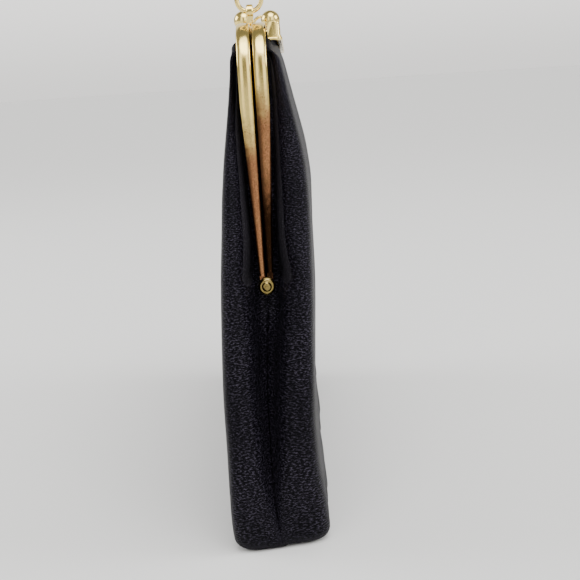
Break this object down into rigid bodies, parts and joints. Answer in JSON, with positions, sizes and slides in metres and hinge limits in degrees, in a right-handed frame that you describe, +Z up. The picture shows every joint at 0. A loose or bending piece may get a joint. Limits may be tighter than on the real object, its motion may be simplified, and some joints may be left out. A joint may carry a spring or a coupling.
{
  "type": "clutch purse",
  "caption": "Small satin clutch hung from a metal kiss-lock frame: two rail halves open on end rivets, with a front bar and a ring at each end.",
  "frame": {"origin": "middle of the base that the bag stands on", "axes": "+X along the purse's length towards its right-hand end, -Y out of the front (the side with the bar), +Z up"},
  "size_m": [0.22, 0.0292, 0.1671],
  "materials": {
    "frame_gold": "polished pale gold plate",
    "satin_black": "black satin, soft sheen",
    "lining_cloth": "plain woven lining",
    "buckram": "stiffened cotton",
    "packing_cord": "twisted paper cord",
    "base_card": "pressed card"
  },
  "bodies": {
    "bag": {"satin_front_lower": "satin_black", "satin_back_lower": "satin_black", "satin_bottom": "satin_black", "interlining_front": "buckram", "interlining_back": "buckram", "lining_front_lower": "lining_cloth", "lining_back_lower": "lining_cloth", "base_board": "base_card", "rivet_left": "frame_gold", "rivet_right": "frame_gold", "hinge_washers": "frame_gold"},
    "front_half": {"frame_rail_front": "frame_gold", "front_bar": "frame_gold", "bar_rivets": "frame_gold", "clasp_arm_front": "frame_gold", "clasp_ball_front": "frame_gold", "packing_cord_front": "packing_cord", "satin_front_upper": "satin_black", "lining_front_upper": "lining_cloth"},
    "back_half": {"frame_rail_back": "frame_gold", "clasp_arm_back": "frame_gold", "clasp_ball_back": "frame_gold", "packing_cord_back": "packing_cord", "satin_back_upper": "satin_black", "lining_back_upper": "lining_cloth", "lug_left": "frame_gold", "lug_right": "frame_gold"},
    "left_ring": {"ring_left": "frame_gold"},
    "right_ring": {"ring_right": "frame_gold"}
  },
  "joints": [
    {"name": "front_hinge", "type": "hinge", "parent": "bag", "child": "front_half", "pos_m": [0, 0, 0.08], "axis": [1, 0, 0], "range_deg": [0, 30]},
    {"name": "back_hinge", "type": "hinge", "parent": "bag", "child": "back_half", "pos_m": [0, 0, 0.08], "axis": [1, 0, 0], "range_deg": [-30, 0]},
    {"name": "ring_swing_left", "type": "hinge", "parent": "back_half", "child": "left_ring", "pos_m": [-0.089, 0, 0.1592], "axis": [0, 1, 0], "range_deg": [-90, 90]},
    {"name": "ring_swing_right", "type": "hinge", "parent": "back_half", "child": "right_ring", "pos_m": [0.089, 0, 0.1592], "axis": [0, 1, 0], "range_deg": [-90, 90]}
  ],
  "couplings": [
    {"joint": "back_hinge", "follows": "front_hinge", "ratio": -1}
  ]
}
